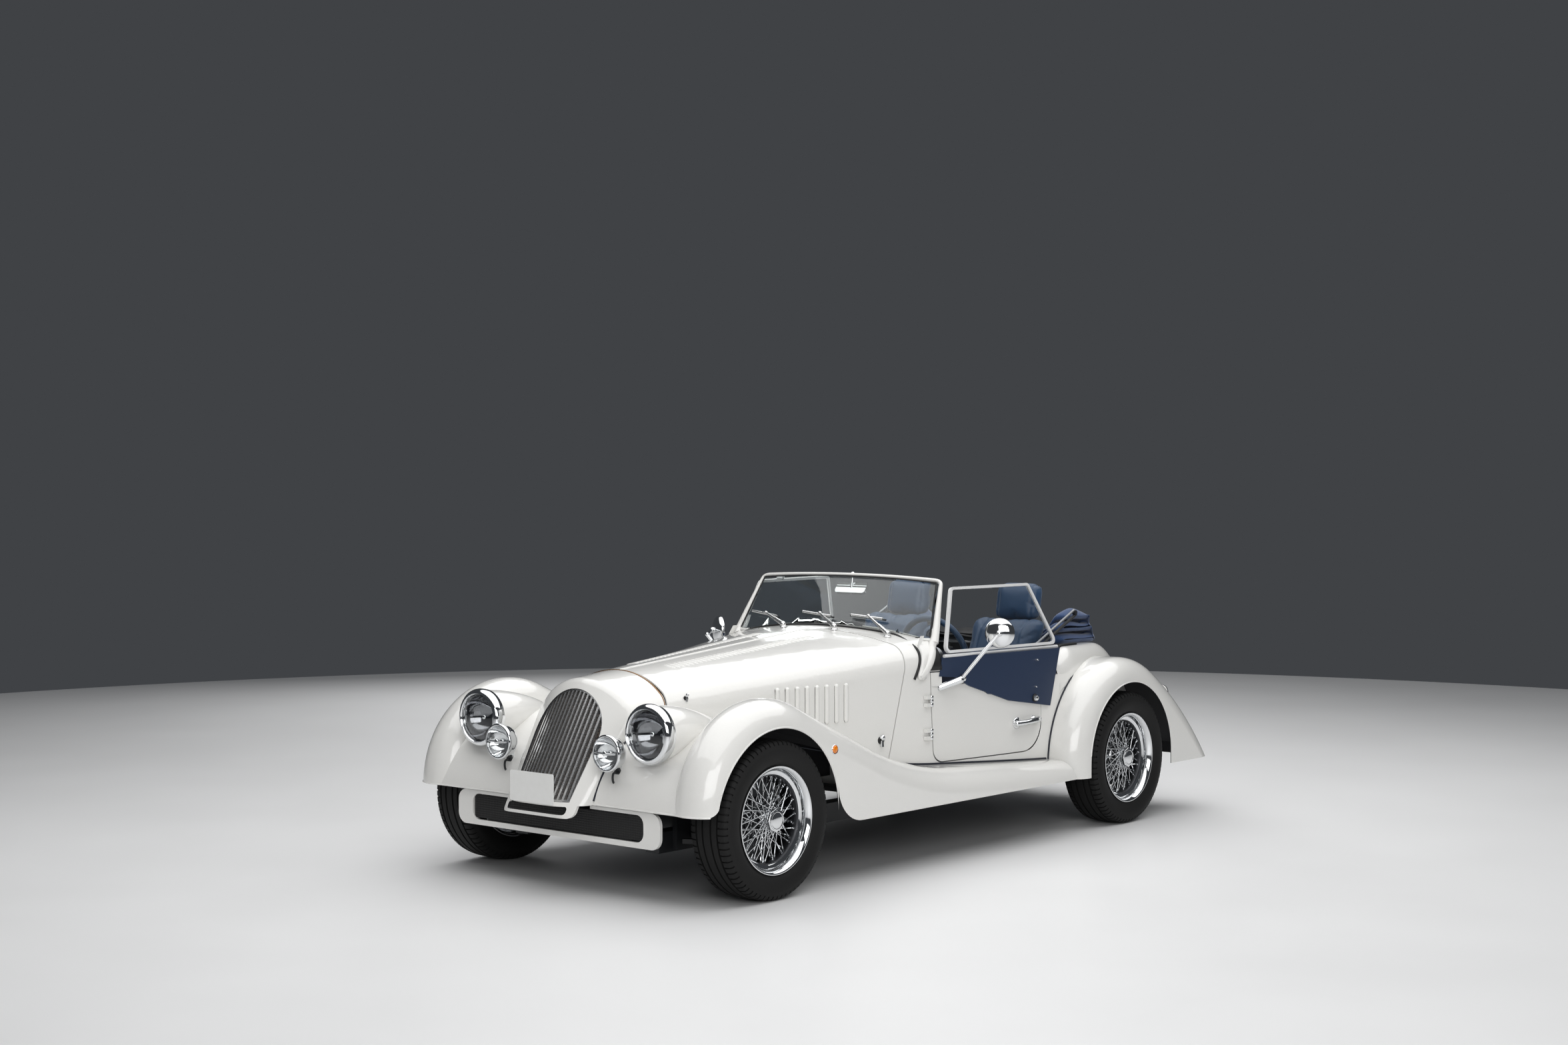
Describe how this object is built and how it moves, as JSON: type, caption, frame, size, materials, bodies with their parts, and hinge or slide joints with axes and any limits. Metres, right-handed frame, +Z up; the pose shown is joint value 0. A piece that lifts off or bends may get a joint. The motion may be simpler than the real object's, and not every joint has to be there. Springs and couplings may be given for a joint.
{
  "type": "roadster convertible",
  "caption": "Open two-seat roadster in a pre-war style, with flowing wings, wire wheels, a bowed slatted grille, a flat windscreen and opening doors and bonnet.",
  "frame": {"origin": "middle of the car's bounding box, on the ground", "axes": "+Y to the rear, so the front is -Y; +X to the car's left; +Z up"},
  "size_m": [1.6546, 3.75, 1.1974],
  "materials": {
    "body_paint": "gloss",
    "bright_metal": "polished",
    "tyre_rubber": "matte",
    "chassis_black": "satin",
    "dark_mesh": "satin",
    "cast_metal": "satin",
    "steel": "brushed",
    "clear_glass": "gloss",
    "amber_lens": "gloss",
    "red_lens": "gloss",
    "blue_leather": "satin",
    "blue_cloth": "matte",
    "navy_vinyl": "matte",
    "screen_frame": "satin",
    "black_trim": "matte",
    "plate_white": "gloss"
  },
  "bodies": {
    "car_body": {"chassis_frame": "chassis_black", "engine_block": "cast_metal", "body_tub": "body_paint", "cowl": "body_paint", "grille": "bright_metal", "front_wing_left": "body_paint", "front_wing_right": "body_paint", "rear_wing_left": "body_paint", "rear_wing_right": "body_paint", "front_valance": "body_paint", "valance_mesh": "dark_mesh", "front_plate": "plate_white", "rear_plate": "plate_white", "lamp_shells": "bright_metal", "lamp_lenses": "clear_glass", "side_repeaters": "amber_lens", "rear_lamps": "red_lens", "windscreen_frame": "body_paint", "windscreen_glass": "clear_glass", "wipers": "bright_metal", "interior_mirror": "bright_metal", "dashboard": "black_trim", "steering_column": "black_trim", "cockpit_trim": "black_trim", "seat_left": "blue_leather", "seat_right": "blue_leather", "hood_bundle": "blue_cloth", "hood_frame": "black_trim", "exhaust": "steel", "front_suspension": "chassis_black", "rear_axle": "chassis_black"},
    "door_body_left": {"door_left": "body_paint", "side_screen_frame_left": "screen_frame", "side_screen_glass_left": "clear_glass", "side_screen_panel_left": "navy_vinyl", "door_mirror_left": "bright_metal", "door_handle_left": "bright_metal"},
    "bonnet_body_left": {"bonnet_left": "body_paint"},
    "knuckle_body_left": {"knuckle_left": "cast_metal"},
    "wheel_front_left": {"wire_wheel_front_left": "bright_metal", "tyre_front_left": "tyre_rubber"},
    "wheel_rear_left": {"wire_wheel_rear_left": "bright_metal", "tyre_rear_left": "tyre_rubber"},
    "door_body_right": {"door_right": "body_paint", "side_screen_frame_right": "screen_frame", "side_screen_glass_right": "clear_glass", "side_screen_panel_right": "navy_vinyl", "door_mirror_right": "bright_metal", "door_handle_right": "bright_metal"},
    "bonnet_body_right": {"bonnet_right": "body_paint"},
    "knuckle_body_right": {"knuckle_right": "cast_metal"},
    "wheel_front_right": {"wire_wheel_front_right": "bright_metal", "tyre_front_right": "tyre_rubber"},
    "wheel_rear_right": {"wire_wheel_rear_right": "bright_metal", "tyre_rear_right": "tyre_rubber"},
    "steering_wheel_body": {"steering_wheel": "black_trim"},
    "rack_body": {"steering_rack": "steel"}
  },
  "joints": [
    {"name": "steer_left", "type": "hinge", "parent": "car_body", "child": "knuckle_body_left", "pos_m": [0.64, -1.36, 0.306], "axis": [0, 0, 1], "range_deg": [-30, 30]},
    {"name": "steer_right", "type": "hinge", "parent": "car_body", "child": "knuckle_body_right", "pos_m": [-0.64, -1.36, 0.306], "axis": [0, 0, 1], "range_deg": [-30, 30]},
    {"name": "steering_wheel_turn", "type": "hinge", "parent": "car_body", "child": "steering_wheel_body", "pos_m": [0.322, 0.29, 0.806], "axis": [0, 0.9668, 0.2557], "range_deg": [-421, 421]},
    {"name": "rack_slide", "type": "slide", "parent": "car_body", "child": "rack_body", "axis": [1, 0, 0], "range_m": [-0.069, 0.069]},
    {"name": "door_left_hinge", "type": "hinge", "parent": "car_body", "child": "door_body_left", "pos_m": [0.591, -0.098, 0.58], "axis": [0, 0, -1], "range_deg": [0, 65]},
    {"name": "bonnet_left_hinge", "type": "hinge", "parent": "car_body", "child": "bonnet_body_left", "pos_m": [0, -1.394, 0.835], "axis": [0, -0.996, -0.089], "range_deg": [0, 60]},
    {"name": "wheel_front_left_spin", "type": "hinge", "parent": "knuckle_body_left", "child": "wheel_front_left", "pos_m": [0.716, -1.36, 0.306], "axis": [1, 0, 0], "continuous": true},
    {"name": "wheel_rear_left_spin", "type": "hinge", "parent": "car_body", "child": "wheel_rear_left", "pos_m": [0.716, 1.16, 0.306], "axis": [1, 0, 0], "continuous": true},
    {"name": "door_right_hinge", "type": "hinge", "parent": "car_body", "child": "door_body_right", "pos_m": [-0.591, -0.098, 0.58], "axis": [0, 0, 1], "range_deg": [0, 65]},
    {"name": "bonnet_right_hinge", "type": "hinge", "parent": "car_body", "child": "bonnet_body_right", "pos_m": [0, -1.394, 0.835], "axis": [0, 0.996, 0.089], "range_deg": [0, 60]},
    {"name": "wheel_front_right_spin", "type": "hinge", "parent": "knuckle_body_right", "child": "wheel_front_right", "pos_m": [-0.716, -1.36, 0.306], "axis": [1, 0, 0], "continuous": true},
    {"name": "wheel_rear_right_spin", "type": "hinge", "parent": "car_body", "child": "wheel_rear_right", "pos_m": [-0.716, 1.16, 0.306], "axis": [1, 0, 0], "continuous": true}
  ],
  "couplings": [
    {"joint": "steer_right", "follows": "steer_left", "ratio": 1},
    {"joint": "steering_wheel_turn", "follows": "steer_left", "ratio": 14},
    {"joint": "rack_slide", "follows": "steer_left", "m_per_rad": -0.127}
  ]
}
